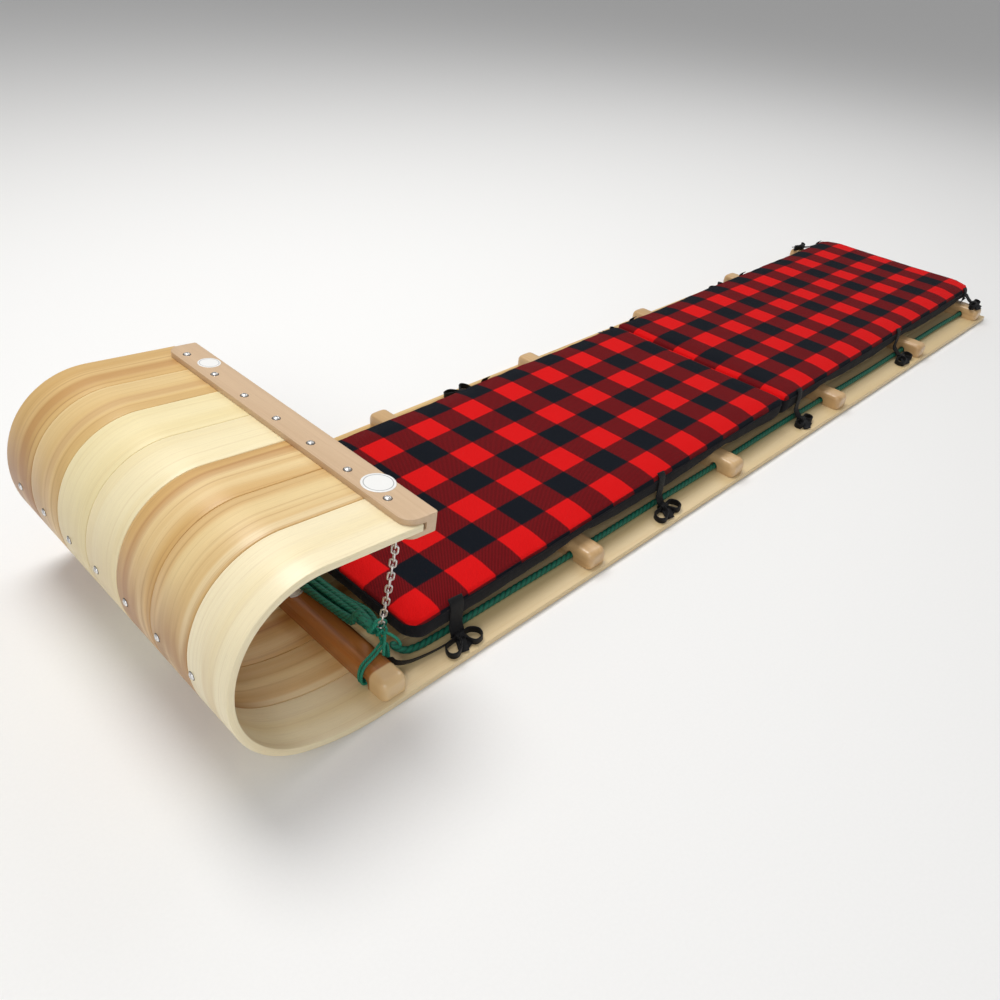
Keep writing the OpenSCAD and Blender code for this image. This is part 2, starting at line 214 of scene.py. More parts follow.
# ---------------------------------------------------------------- material helpers
class Shader:
    """Builds the nodes of one material around its Principled shader."""

    def __init__(self, name, **sockets):
        self.material = bpy.data.materials.new(name)
        self.material.use_nodes = True
        self.tree = self.material.node_tree
        self.bsdf = self.tree.nodes["Principled BSDF"]
        for key, value in sockets.items():
            self.put(self.bsdf, key.replace("_", " "), value)

    def put(self, node, key, value):
        socket = node.inputs[key]
        if isinstance(value, bpy.types.NodeSocket):
            self.tree.links.new(value, socket)
        elif socket.type == "RGBA" and len(value) == 3:
            socket.default_value = (*value, 1)
        else:
            socket.default_value = value

    def node(self, kind, inputs, **settings):
        node = self.tree.nodes.new("ShaderNode" + kind)
        for key, value in settings.items():
            setattr(node, key, value)
        for key, value in inputs.items():
            self.put(node, key, value)
        return node

    def attribute(self, name):
        return self.node("Attribute", {}, attribute_name=name).outputs["Vector"]

    def object_place(self):
        return self.node("TexCoord", {}).outputs["Object"]

    def split(self, vector):
        return self.node("SeparateXYZ", {0: vector}).outputs

    def join(self, x, y, z):
        return self.node("CombineXYZ", {0: x, 1: y, 2: z}).outputs[0]

    def scaled(self, vector, scale, shift=(0, 0, 0)):
        return self.node("Mapping", {"Vector": vector, "Scale": scale, "Location": shift}).outputs[0]

    def math(self, operation, a, b=0.0):
        return self.node("Math", {0: a, 1: b}, operation=operation).outputs[0]

    def plus(self, a, b):
        return self.math("ADD", a, b)

    def times(self, a, b):
        return self.math("MULTIPLY", a, b)

    def ribs(self, value, pitch):
        """A sine wave that repeats each time value grows by pitch."""
        return self.math("SINE", self.times(value, TURN / pitch))

    def step(self, value, low, high):
        """0 below low, 1 above high, and smooth between them; high may be the smaller."""
        return self.node("MapRange", {0: value, 1: low, 2: high, 3: 0.0, 4: 1.0},
                         interpolation_type="SMOOTHSTEP").outputs[0]

    def noise(self, vector, scale=1.0, detail=2.0, rough=0.5, distortion=0.0):
        return self.node("TexNoise", {"Vector": vector, "Scale": scale, "Detail": detail,
                                      "Roughness": rough, "Distortion": distortion}).outputs[0]

    def mix(self, factor, a, b, blend="MIX"):
        node = self.node("Mix", {}, data_type="RGBA", blend_type=blend)
        self.put(node, 0, factor)
        self.put(node, 6, a)
        self.put(node, 7, b)
        return node.outputs[2]

    def bump(self, height, distance, strength=1.0):
        normal = self.node("Bump", {"Height": height, "Distance": distance, "Strength": strength})
        self.put(self.bsdf, "Normal", normal.outputs[0])

    def done(self, colour, rough=None):
        self.put(self.bsdf, "Base Color", colour)
        if rough is not None:
            self.put(self.bsdf, "Roughness", rough)
        return self.material


# Along a slat from the tail, in metres: where the painted shade on the lower front of the curl begins, is
# full, begins to fade and ends; and where the flat deck ends, which may be tinted up to there
FRONT_SHADE_SPAN = (1.72, 1.84, 1.89, 1.985)
DECK_END, DECK_TINT = 1.657, (0.60, 0.40, 0.17)


def wood(name, light, mid, dark, seed, streaks=0.6, rough=0.42, coat=0.15, band=None, ends=None,
         along="grain", tone=0.5, front_shade=0.0, deck=0.0):
    """Straight-grained wood. along says where the grain's direction comes from: a mesh's own grain
    vectors, or the Y axis. band is (middle, half width, colour) across the grain. ends is (distance
    from the middle, colour) of the bare ends. tone moves the balance between light and mid,
    front_shade says how strongly painted shade darkens the lower front of the curl, where light from
    above reaches less, and deck says how strongly the deck is tinted."""
    s = Shader(name, Coat_Weight=coat, Coat_Roughness=0.22)
    if along == "grain":
        at = s.attribute("grain")
    else:
        x, y, z = s.split(s.object_place())
        at = s.join(y, x, z)
    run, across, deep = s.split(at)
    wander = s.noise(s.scaled(at, (2.2, 9, 9), (seed, seed * 2, 0)), 1.0, 2.0)
    across = s.plus(across, s.times(s.math("SUBTRACT", wander, 0.5), 0.022))
    flow = s.join(run, across, deep)
    broad = s.noise(s.scaled(flow, (0.9, 34, 34), (seed, seed, seed)), 1.0, 2.0, 0.55)
    fine = s.noise(s.scaled(flow, (1.8, 190, 190), (seed, seed, 0)), 1.0, 5.0, 0.62)
    fibre = s.noise(s.scaled(flow, (28, 1500, 1500), (seed, 0, 0)), 1.0, 2.0)
    pores = s.noise(s.scaled(flow, (110, 4200, 4200)), 1.0, 1.0)
    colour = s.mix(s.step(broad, tone - 0.16, tone + 0.17), light, mid)
    if band:
        off = s.math("ABSOLUTE", s.math("SUBTRACT", across, band[0]))
        colour = s.mix(s.times(s.step(off, band[1], band[1] * 0.3), 0.5), colour, band[2])
    veins = s.times(s.step(fine, 0.5, 0.74), streaks)
    colour = s.mix(veins, colour, dark)
    colour = s.mix(s.times(s.step(broad, tone + 0.1, tone + 0.3), streaks * 0.5), colour, dark)
    shade = s.plus(0.9, s.times(fibre, 0.2))
    open_pore = s.step(pores, 0.62, 0.72)
    shade = s.times(shade, s.math("SUBTRACT", 1.0, s.times(open_pore, 0.1)))
    colour = s.mix(1.0, colour, s.join(shade, shade, shade), "MULTIPLY")
    if deck:
        flat_part = s.step(run, DECK_END + 0.14, DECK_END - 0.1)
        colour = s.mix(s.times(flat_part, deck), colour, DECK_TINT)
    # Painted shade: clouds on the lower front of the curl darkened towards the dark colour
    if front_shade:
        low_front = s.times(s.step(run, FRONT_SHADE_SPAN[0], FRONT_SHADE_SPAN[1]), s.step(run, FRONT_SHADE_SPAN[3], FRONT_SHADE_SPAN[2]))
        cloud = s.step(s.noise(s.scaled(flow, (5, 40, 40), (0, seed, 0)), 1.0, 3.0), 0.3, 0.62)
        colour = s.mix(s.times(s.times(low_front, cloud), front_shade), colour, dark)
    if ends:
        colour = s.mix(s.step(s.math("ABSOLUTE", run), ends[0], ends[0] + 0.003), colour, ends[1])
    s.bump(s.plus(fibre, s.times(fine, 0.5)), 0.00012, 0.6)
    return s.done(colour, s.plus(rough - 0.06, s.times(fibre, 0.12)))


def rope_fibre(name, colour, deep, lines):
    """Laid cord: painted shade in the grooves between the strands, painted highlights on patches of
    fibre, and fine fibres that follow them. deep is the colour of the painted groove shade. The vectors
    "strand" hold the place along the cord, the turn across a strand and the height, 0 to 1."""
    s = Shader(name)
    run, turn, high = s.split(s.attribute("strand"))
    fibres = s.noise(s.join(s.times(run, 60.0), s.times(turn, 9.0), 0.0), 1.0, 3.0)
    threads = s.math("SINE", s.plus(s.times(run, float(lines)), s.times(turn, 10.0)))
    # Painted shade: the grooves between the strands take the much darker deep colour
    base = s.mix(s.step(high, 0.05, 0.75), deep, colour)
    # Painted highlight: patches of fibre lifted towards a brighter colour
    painted_highlight = [min(1, c * 1.7 + 0.002) for c in colour]
    base = s.mix(s.times(s.step(fibres, 0.35, 0.8), 0.45), base, painted_highlight)
    s.bump(s.plus(threads, s.times(fibres, 1.5)), 0.0002, 0.55)
    return s.done(base, s.plus(0.38, s.times(fibres, 0.2)))


def metal(name, colour, rough):
    """Plated steel with faint scratches and duller patches."""
    s = Shader(name, Metallic=1.0)
    at = s.object_place()
    patches, scratch = s.noise(at, 160.0, 3.0), s.noise(s.scaled(at, (1, 1, 6)), 900, 2.0)
    tint = s.mix(s.step(patches, 0.35, 0.75), colour, [c * 0.72 for c in colour])
    s.bump(scratch, 0.00003, 0.4)
    return s.done(tint, s.plus(rough, s.times(patches, 0.16)))


CHECK = 43.93  # side of one square of the check, in mm
THREADS, TWILLS = 58, 18  # threads, and diagonal lines where colours mix, in one square
WEAVE_PITCH, RIBBON_PITCH = 0.0014, 0.0009  # ribs of the base cloth and of the ribbon, in metres
RED, BLACK, WINE = (0.70, 0.004, 0.005), (0.003, 0.005, 0.010), (0.115, 0.002, 0.004)


def check_cloth():
    """Two-colour check: threads of each colour cross, so mixed squares show fine twill lines. The
    vectors "weave" hold the two directions, counted in squares."""
    s = Shader("checked_cloth", Sheen_Weight=0.02, Sheen_Roughness=0.6, Specular_IOR_Level=0.08)
    i, j = s.split(s.attribute("weave"))[:2]
    fuzz = s.noise(s.join(i, j, 0.0), 60.0, 3.0)

    def stripe(along, other):
        wander = s.noise(s.join(other, along, 0.0), 9.0, 2.0)
        wobble = s.times(s.math("SUBTRACT", wander, 0.5), 0.03)
        return s.step(s.math("PINGPONG", s.plus(s.plus(along, wobble), 0.5), 1.0), 0.475, 0.525)

    down, over = stripe(i, j), stripe(j, i)
    twill = s.ribs(s.plus(i, j), 1 / TWILLS)
    lines = s.step(twill, -0.2, 0.75)
    both = s.times(down, over)
    either = s.math("MAXIMUM", down, over)
    mixed = s.mix(lines, [c * 0.6 for c in WINE], [WINE[0] * 2.1, WINE[1] * 2, WINE[2] * 2])
    colour = s.mix(either, BLACK, mixed)
    colour = s.mix(both, colour, RED)
    thread = s.plus(s.ribs(i, 1 / THREADS), s.ribs(j, 1 / THREADS))
    wear = s.plus(0.82, s.times(fuzz, 0.36))
    colour = s.mix(1.0, colour, s.join(wear, wear, wear), "MULTIPLY")
    s.bump(s.plus(s.times(thread, 0.5), s.plus(twill, fuzz)), 0.00022, 0.5)
    return s.done(colour, s.plus(0.78, s.times(fuzz, 0.15)))


def base_cloth():
    """Plain dark cloth of the pad's sides and underside."""
    s = Shader("pad_base_cloth", Sheen_Weight=0.05, Sheen_Roughness=0.5, Specular_IOR_Level=0.12)
    at = s.object_place()
    cloud, weave = s.noise(at, 60.0, 3.0), s.noise(at, 1900.0, 1.0)
    x, y, z = s.split(at)
    ribs = s.plus(s.ribs(x, WEAVE_PITCH), s.ribs(s.plus(y, z), WEAVE_PITCH))
    s.bump(s.plus(s.times(ribs, 0.4), weave), 0.00018, 0.6)
    return s.done(s.mix(cloud, (0.004, 0.004, 0.006), (0.011, 0.010, 0.013)),
                  s.plus(0.75, s.times(weave, 0.2)))


def ribbon_cloth():
    """Black woven ribbon with fine ribs."""
    s = Shader("ribbon_black", Sheen_Weight=0.06, Sheen_Roughness=0.35, Specular_IOR_Level=0.2)
    at = s.object_place()
    weave, cloud = s.noise(at, 2600.0, 1.0), s.noise(at, 90.0, 2.0)
    ribs = s.ribs(s.split(at)[0], RIBBON_PITCH)
    s.bump(s.plus(ribs, weave), 0.00012, 0.6)
    return s.done(s.mix(cloud, (0.003, 0.003, 0.0035), (0.009, 0.009, 0.011)),
                  s.plus(0.5, s.times(weave, 0.2)))


def label_film():
    """White printed film with one thin ring; "disc" holds the distance from the middle, 0 to 1."""
    s = Shader("label_film", Coat_Weight=0.3, Coat_Roughness=0.15)
    far = s.split(s.attribute("disc"))[0]
    ring = s.times(s.step(far, 0.80, 0.82), s.step(far, 0.88, 0.86))
    speck = s.noise(s.object_place(), 700.0, 2.0)
    colour = s.mix(ring, s.mix(speck, (0.86, 0.86, 0.85), (0.9, 0.9, 0.89)), (0.45, 0.46, 0.47))
    s.bump(speck, 0.00002, 0.4)
    return s.done(colour, s.plus(0.3, s.times(speck, 0.1)))


# Each rope's third colour is the painted shade in the grooves between its strands
ROPE = rope_fibre("rope_teal", (0.003, 0.155, 0.095), (0.0006, 0.010, 0.008), 900)
CORD = rope_fibre("cord_green", (0.006, 0.27, 0.17), (0.0015, 0.035, 0.024), 2400)
STEEL = metal("steel_plated", (0.86, 0.85, 0.84), 0.28)
# Dark steel for the painted contact shadow ring round each screw head
SHADOW_RING_STEEL = metal("steel_painted_shadow", (0.10, 0.09, 0.085), 0.5)
CLOTH = check_cloth()
BASE_CLOTH = base_cloth()
RIBBON = ribbon_cloth()
FILM = label_film()


# ---------------------------------------------------------------- ropes and cords
def laid(shape, path, d, lay, strands=3, up=(0, 0, 1), loop=False):
    """Adds a laid cord to a shape: a tube d across whose lobes turn round its line once a lay."""
    sides = strands * 8
    side, normal = carried_frames(path, up, loop)
    along = lengths_along(path)
    if loop:
        turns = max(1, round((along[-1] + np.linalg.norm(path[0] - path[-1])) / lay))
        phase = TURN * turns * np.arange(len(path)) / len(path)
    else:
        phase = TURN * along / lay
    angle = TURN * np.arange(sides) / sides
    lobe = strands / 2 * (angle[None, :] - phase[:, None])
    high = np.abs(np.cos(lobe))
    radius = d / 2 * (0.80 + 0.20 * high)
    if not loop:
        inset = np.clip(np.minimum(along, along[-1] - along) / (0.4 * d), 0, 1)
        radius = radius * np.sqrt(1 - (1 - inset) ** 2 * 0.9)[:, None]
    rings = tube_rings(path, radius[..., None], angle, side, normal)
    notes = np.stack([np.repeat(along[:, None], sides, 1), lobe % math.pi, high], axis=-1)
    shape.loft(rings, notes, loop)
    return shape


def mirrored(points, side):
    return [(x, side * y, z) for x, y, z in points]


SIDE_ROPE = [
    (-896, 192, 15), (-886, 192, 14.2), (-870, 192, 13.8), (-840, 192, 13.5), (-735, 190, 13),
    (-590, 192, 13.8), (-425, 193, 13), (-261, 192, 13.8), (-100, 190, 13), (68, 192, 13.8),
    (230, 191, 13), (397, 192, 13.8), (540, 190, 13), (640, 190, 13.5), (676, 189, 17),
    (690, 186, 25), (698, 182, 36),
]
ROPE_D, CORD_D, PULL_D = 9 * MM, 3.5 * MM, 7 * MM
ROPE_LAY, CORD_LAY, PULL_LAY = 27 * MM, 9 * MM, 21 * MM

# One turn of the lashing round the front crossbar, through its notch
LASHING = [(706.5, 186, 24), (706, 182, 42), (724, 186, 39), (741, 189, 34.5), (746, 190, 23),
           (742.5, 190.2, 12.2), (726, 190.2, 12), (709.5, 190.2, 12)]

# Where the runs of the folded pull rope lie around the bundle's middle, as (x, z), how far they
# reach to each side, and the radius and the tilts in degrees of the open loops between them
HANK_RUNS = [(-11.5, 0.5), (11, -1), (-3.8, 7.3), (3.6, -1.6), (3.8, 7.6), (-4.2, -1.2), (11, 6.2)]
HANK_REACH, LOOP_R, LOOP_TILTS = 137, 14.5, (35, 60, 20, 75, 45, 55)
LOOP_LOWEST = 36.5
# The bundle's middle at some distances from the toboggan's middle line, as (y, x, z)
HANK_LINE = [(0, 709, 38.2), (60, 708, 38.8), (110, 706.5, 41.5), (140, 705.5, 46), (172, 704.5, 50)]


def hank_middle(y):
    ys, xs, zs = zip(*HANK_LINE)
    return np.interp(abs(y), ys, xs), np.interp(abs(y), ys, zs)


def pull_rope_route():
    """The pull rope from knot to knot: runs across the toboggan with open loops at both ends."""
    points = [(KNOT_P[0], KNOT_P[1], KNOT_P[2] + 1)]
    for run, (dx, dz) in enumerate(HANK_RUNS):
        way = -1 if run % 2 == 0 else 1
        for y in np.linspace(-HANK_REACH, HANK_REACH, 9)[::way]:
            x, z = hank_middle(y)
            wave = math.sin(0.031 * y + 1.9 * run)
            points.append((x + dx + 1.3 * wave, y, z + dz + 0.7 * math.cos(0.04 * y + run)))
        if run == len(HANK_RUNS) - 1:
            break
        nx, nz = HANK_RUNS[run + 1]
        x, z = hank_middle(way * (HANK_REACH + LOOP_R))
        tilt = math.radians(LOOP_TILTS[run])
        across = np.array([math.cos(tilt), math.sin(tilt)]) * (1 if nx >= dx else -1)
        middle = np.array([x + (dx + nx) / 2, z + max(dz, nz) / 2 + 2])
        for turn in (-115, -60, 0, 60, 115):
            a = math.radians(turn)
            off = across * math.sin(a) * LOOP_R
            points.append((middle[0] + off[0], way * (HANK_REACH + LOOP_R * (1.05 + math.cos(a))),
                           max(middle[1] + off[1], LOOP_LOWEST)))
    points.append((KNOT_P[0], -KNOT_P[1], KNOT_P[2] + 1))
    return points


def add_cord(name, points, step, d, lay, material, slot, node):
    route = smooth_path(np.array(points) * MM, step * MM)
    piece = laid(Shape(), route, d, lay).piece(name, [material], BASE, slot, [node], "strand")


def add_cords():
    add_cord("pull_rope", pull_rope_route(), 2.0, PULL_D, PULL_LAY, ROPE, "rope", "pull_rope_hank")
    for name, side in SIDES.items():
        add_cord(f"side_rope_{name}_laid", mirrored(SIDE_ROPE, side), 2.6, ROPE_D, side * ROPE_LAY,
                 ROPE, "rope", f"side_rope_{name}")
        turn = np.array(mirrored(LASHING, side))
        x, y, z = KNOT_P
        line = [(x, side * (y + 4), z - 6)]
        line += [p + (0, side * shift, 0) for shift in (2.2, -2.2) for p in turn]
        line += [turn[0] + (0, side * -3, 2), (x + 2, side * y, z - 5)]
        add_cord(f"lashing_{name}_cord", line, 1.1, CORD_D, CORD_LAY, CORD, "thin_cord",
                 f"lashing_{name}")


def knot_path(centre, size, side):
    """The line of an overhand knot."""
    t = angles_round(96)
    knot = np.stack([np.sin(t) + 2 * np.sin(2 * t), side * (np.cos(t) - 2 * np.cos(2 * t)),
                     -1.6 * np.sin(3 * t)], 1)
    return (np.array(centre) + knot * size / 3) * MM


def add_knots():
    """At each end of the hank a knot, four turns round the hank and two loose ends, and a stopper
    knot on the tail end of each side rope."""
    knots, tails = Shape(), Shape()
    for side in SIDES.values():
        x, y, z = KNOT_P
        laid(knots, knot_path((x, side * y, z), 6.2, side), CORD_D, CORD_LAY, loop=True)
        for lift in (-5.5, -1.8, 1.9, 5.6):
            t = angles_round(64)
            ring = np.stack([x + 9.8 * np.cos(t), side * (y - 6 + lift * 0.5) + 2.5 * np.sin(t),
                             z + 1.5 + lift * 0.2 + 8.6 * np.sin(t)], 1)
            laid(knots, ring * MM, CORD_D, CORD_LAY, loop=True, up=(0, 1, 0))
        for bend in (-1, 1):
            tail = [(x, side * (y + 4), z), (x - 3 * bend, side * (y + 11), z + 1),
                    (x - 9 * bend, side * (y + 17), z - 6), (x - 12 * bend, side * (y + 20), z - 15)]
            laid(knots, smooth_path(np.array(tail) * MM, 1.1 * MM), CORD_D, CORD_LAY)
        x, y, z = TAIL_KNOT
        laid(tails, knot_path((x + 1, side * y, z), 5.6, side), 6.6 * MM, 20 * MM, loop=True)
    knots.piece("lashing_knots_cord", [CORD], BASE, "thin_cord", ["lashing_knots"], "strand")
    tails.piece("rope_tail_knots_laid", [ROPE], BASE, "rope", ["rope_tail_knots"], "strand")


add_cords()
add_knots()


# ---------------------------------------------------------------- bent slats
def lip_point(u, y, v):
    """A place by the curl's straight lip: u along it from its start, v inward from its outer face."""
    return np.array([LIP_P[0] + u * LIP_WAY[0] + v * LIP_IN[0], y,
                     LIP_P[1] + u * LIP_WAY[1] + v * LIP_IN[1]])


def board_stations():
    """Stations along the outer face of a slat, from the tail to the lip: the points and the ways
    inward, both as (x, z)."""
    stations = [((x, 0), (0, 1)) for x in np.linspace(TAIL_X, RISE_C[0], 48)]
    turned = 0
    for (cx, cz), r, turn in ((RISE_C, RISE_R, RISE_TURN), (FRONT_C, FRONT_R, FRONT_TURN),
                              (TOP_C, TOP_R, TOP_TURN)):
        for a in np.radians(np.linspace(turned, turned + turn, max(4, turn // 3))[1:]):
            stations.append(((cx + r * math.sin(a), cz - r * math.cos(a)), (-math.sin(a), math.cos(a))))
        turned += turn
    for u in np.linspace(0, LIP_LEN - GROOVE_GAP, 8)[1:]:
        stations.append(((LIP_P[0] + u * LIP_WAY[0], LIP_P[1] + u * LIP_WAY[1]), LIP_IN))
    return [np.array(part, float) for part in zip(*stations)]


def rounded_section(w, t, r, steps=3):
    """Corner-rounded rectangle w wide and t thick, as (across, deep), centred across."""
    return round_corners([(w / 2 - r, t - r, r), (-w / 2 + r, t - r, r), (-w / 2 + r, r, r),
                          (w / 2 - r, r, r)], steps)


EDGE = 1.1
# Each slat's wood: light, mid and dark colour, and its streaks, tone and front_shade (how strongly
# painted shade darkens the curl's lower front) as wood() takes them
SLAT_WOODS = [
    ((0.78, 0.56, 0.26), (0.62, 0.38, 0.13), (0.36, 0.15, 0.035), 0.62, 0.47, 0.95),
    ((0.82, 0.62, 0.31), (0.70, 0.47, 0.19), (0.42, 0.20, 0.05), 0.5, 0.49, 0.7),
    ((0.88, 0.76, 0.45), (0.82, 0.68, 0.36), (0.58, 0.40, 0.16), 0.25, 0.55, 0.4),
    ((0.90, 0.79, 0.51), (0.85, 0.71, 0.40), (0.62, 0.43, 0.19), 0.25, 0.56, 0.45),
    ((0.83, 0.64, 0.34), (0.66, 0.41, 0.15), (0.38, 0.16, 0.04), 0.6, 0.49, 0.9),
    ((0.80, 0.61, 0.31), (0.66, 0.42, 0.17), (0.40, 0.19, 0.05), 0.55, 0.48, 0.95),
    ((0.91, 0.80, 0.54), (0.86, 0.72, 0.42), (0.62, 0.43, 0.20), 0.3, 0.57, 0.4),
]
TINTED_DECKS = {7: 0.6}  # slat number to how strongly its deck is tinted
PALE_SLATS = (3, 4, 7)
# A stripe of other wood in a slat: slat number to (place across in mm, half width in mm, colour)
SLAT_BANDS = {
    1: (-190, 12, (0.46, 0.21, 0.06)),
    2: (-124, 10, (0.50, 0.25, 0.08)),
    5: (52, 9, (0.48, 0.22, 0.07)),
    6: (160, 7, (0.86, 0.72, 0.45)),
}


def add_slats():
    points, inward = board_stations()
    run = lengths_along(points)
    last = len(run) - 1
    section = rounded_section(SLAT_W, SLAT_T, EDGE)
    core = np.array([0, SLAT_T / 2])
    # Each ring as (station, size, shift along the board); the ends draw in over less than 1 mm
    order = [(0, 0.88, 0), (0, 0.97, 0.25), (0, 1, 0.9)] + [(k, 1, 0) for k in range(1, last)]
    order += [(last, 1, -0.9), (last, 0.97, -0.25), (last, 0.88, 0)]
    forward = np.stack([inward[:, 1], -inward[:, 0]], 1)
    for number in range(1, SLATS + 1):
        y = (number - (SLATS + 1) / 2) * SLAT_PITCH
        rings, notes = [], []
        for k, shrink, slide in order:
            tight = section.copy()
            if shrink < 1:
                tight = core + (section - core) * np.array([1 - (1 - shrink) * SLAT_T / SLAT_W, shrink])
            at = points[k] + forward[k] * slide + inward[k] * tight[:, 1:2]
            rings.append(np.column_stack([at[:, 0], y + tight[:, 0], at[:, 1]]) * MM)
            along = np.full(len(tight), run[k] + slide)
            notes.append(np.column_stack([along, y + tight[:, 0], tight[:, 1]]) * MM)
        band = SLAT_BANDS.get(number)
        if band:
            band = (band[0] * MM, band[1] * MM, band[2])
        light, mid, dark, streaks, tone, front_shade = SLAT_WOODS[number - 1]
        board = wood(f"ash_{number}", light, mid, dark, number * 3.7, streaks, band=band,
                     tone=tone, front_shade=front_shade, deck=TINTED_DECKS.get(number, 0.0))
        kind = "pale_ash" if number in PALE_SLATS else "tan_ash"
        Shape().loft(rings, notes).piece(f"slat_{number}_bent", [board], BASE, kind,
                                         [f"slat_{number}"], "grain", 40)


add_slats()


# ---------------------------------------------------------------- bars of wood
def filleted(corners, steps=3):
    """Outline with its corners rounded, from (x, y, radius) corners given counter-clockwise."""
    out = []
    for k, (x, y, r) in enumerate(corners):
        p = np.array([x, y])
        before = unit(np.array(corners[k - 1][:2]) - p)
        after = unit(np.array(corners[(k + 1) % len(corners)][:2]) - p)
        half = math.acos(np.clip(before @ after, -1, 1)) / 2
        reach = r / math.tan(half)
        start, end, control = p + before * reach, p + after * reach, p
        for s in np.linspace(0, 1, steps + 1):
            out.append((1 - s) ** 2 * start + 2 * s * (1 - s) * control + s ** 2 * end)
    return np.array(out)


def corner_inset(far, r):
    """How far a round corner of radius r has drawn in at a distance from the end."""
    return r - math.sqrt(max(0, r * r - (r - min(far, r)) ** 2))


HEADER_T, GROOVE_DEPTH, GROOVE_T = 22, 24, 8.3
GROOVE_LIFT = 0.1  # how far the groove's outer wall stands off the slats
HEADER_LEN, HEADER_FRONT_R, HEADER_REAR_R, HEADER_EDGE_R = 444, 16, 3, 0.9
BATTEN_Y, BATTEN_LEN, BATTEN_T, BATTEN_H = -14, 392, 20, 24
# Distances from a bar's end of the sections that shape its rounded end
HEADER_ENDS = [0, 0.35, 1, 2, 3.2, 4.8, 6.6, 8.6, 10.8, 13.2, 16]
BAR_ENDS = [0, 0.3, 0.9, 1.8, 3, 4.6, 6.6, 9, 12, 16, 20, 24]


def add_bar(rings, material, slot, node, sharp):
    Shape().loft(np.array(rings) * MM).piece(node + "_wood", [material], BASE, slot, [node], sharp=sharp)


def add_header(material):
    """The header bar, lofted along its length with its groove and its round front corners."""
    low, high = -HEADER_LIP, HEADER_T - HEADER_LIP
    half = HEADER_LEN / 2
    ends = [-half + d for d in HEADER_ENDS]
    stations = ends + list(np.linspace(-half + 25, half - 25, 24)) + [-y for y in ends[::-1]]
    rings = []
    for y in stations:
        far = half - abs(y)
        front, rear = corner_inset(far, HEADER_FRONT_R), HEADER_W - corner_inset(far, HEADER_REAR_R)
        pinch = corner_inset(far, HEADER_EDGE_R)
        edge = HEADER_EDGE_R - pinch * 0.5
        section = filleted([
            (front, low + pinch, edge), (rear, low + pinch, edge),
            (rear, high - pinch, edge), (front, high - pinch, edge),
            (front, GROOVE_T - GROOVE_LIFT, 0.5), (GROOVE_DEPTH, GROOVE_T - GROOVE_LIFT, 0.4),
            (GROOVE_DEPTH, -GROOVE_LIFT, 0.4), (front, -GROOVE_LIFT, 0.5)])
        rings.append([lip_point(HEADER_U + u, HEADER_SHIFT + y, v) for u, v in section])
    add_bar(rings, material, "header_wood", "header_bar", 38)


BAR_LEN, BAR_EDGE_R, BAR_END_R = 452, 9, 10
NOTCH_Y, NOTCH_R, NOTCH_H = 192, 6.5, 12


def add_crossbar(number, material):
    """A crossbar with a rounded top, domed ends, and an arch over each side rope."""
    half = BAR_LEN / 2
    rising = (-1.02, -1, -0.97, -0.85, -0.6, -0.3)
    notch = [NOTCH_Y + NOTCH_R * s for s in rising + (0,) + tuple(-s for s in rising[::-1])]
    right = sorted([half - d for d in BAR_ENDS] + notch)
    stations = [-y for y in right[::-1]] + list(np.linspace(-180, 180, 25)) + right
    rings = []
    for y in stations:
        far = half - abs(y)
        draw = corner_inset(far, BAR_END_R)
        off = abs(abs(y) - NOTCH_Y) / NOTCH_R
        floor_z = SLAT_T + (NOTCH_H * math.sqrt(1 - off * off) ** 0.8 if off < 1 else 0)
        w, top = BAR_W / 2 - draw * 0.62, BAR_TOP - draw * 0.72
        foot = floor_z + (draw * 0.25 if far < BAR_END_R else 0)
        round_r = BAR_EDGE_R - 1
        section = filleted([(-w, foot, 1), (w, foot, 1), (w, top, round_r), (-w, top, round_r)], 5)
        rings.append([(BAR_XS[number - 1] + x, y, z) for x, z in section])
    add_bar(rings, material, "bar_wood", f"crossbar_{number}", 50)


def add_batten(material):
    """The batten behind the front screws, with its face rounded to the curl."""
    inner = FRONT_R - SLAT_T - 0.05
    half, high = BATTEN_LEN / 2, BATTEN_H / 2
    face = [(FRONT_C[0] + math.sqrt(inner ** 2 - z * z), FRONT_C[1] + z)
            for z in np.linspace(-high, high, 9)]
    back = FRONT_C[0] + FRONT_R - SLAT_T - BATTEN_T
    outline = np.array([(back, FRONT_C[1] - high)] + face + [(back, FRONT_C[1] + high)])
    middle = outline.mean(0)
    rings = []
    for far in (0, 0.4, 1.2, 40, 120):
        shrink = 1 - 0.08 * (1 - min(far / 1.2, 1)) ** 2
        ring = middle + (outline - middle) * shrink
        rings.append([(x, BATTEN_Y - half + far, z) for x, z in ring])
    rings += [[(x, 2 * BATTEN_Y - y, z) for x, y, z in ring] for ring in rings[::-1]]
    add_bar(rings, material, "header_wood", "curl_batten", 40)


def add_bars():
    header = wood("header_ash", (0.66, 0.47, 0.30), (0.58, 0.40, 0.245), (0.45, 0.27, 0.15), 11.0,
                  0.25, 0.36, 0.2, along="y")
    front = wood("bar_varnished", (0.42, 0.16, 0.04), (0.33, 0.11, 0.025), (0.17, 0.05, 0.012), 5.0,
                 0.5, 0.2, 0.4, along="y", ends=(0.199, (0.74, 0.52, 0.27)))
    pale = wood("bar_ash", (0.66, 0.44, 0.22), (0.55, 0.34, 0.155), (0.36, 0.18, 0.07), 8.0,
                0.35, 0.34, 0.3, along="y")
    batten = wood("batten_ash", (0.50, 0.30, 0.15), (0.42, 0.23, 0.10), (0.26, 0.12, 0.05), 2.0,
                  0.5, 0.5, 0.1, along="y")
    add_header(header)
    add_batten(batten)
    for number in range(1, len(BAR_XS) + 1):
        add_crossbar(number, front if number == 1 else pale)


add_bars()


# ---------------------------------------------------------------- screws, chains, labels
HEAD_R, HEAD_H = 4, 2.2


def across_ways(out):
    """out made one long, and two ways square to it."""
    out = unit(out)
    side = unit(np.cross(out, (0, 1, 0)))
    return out, side, np.cross(out, side)


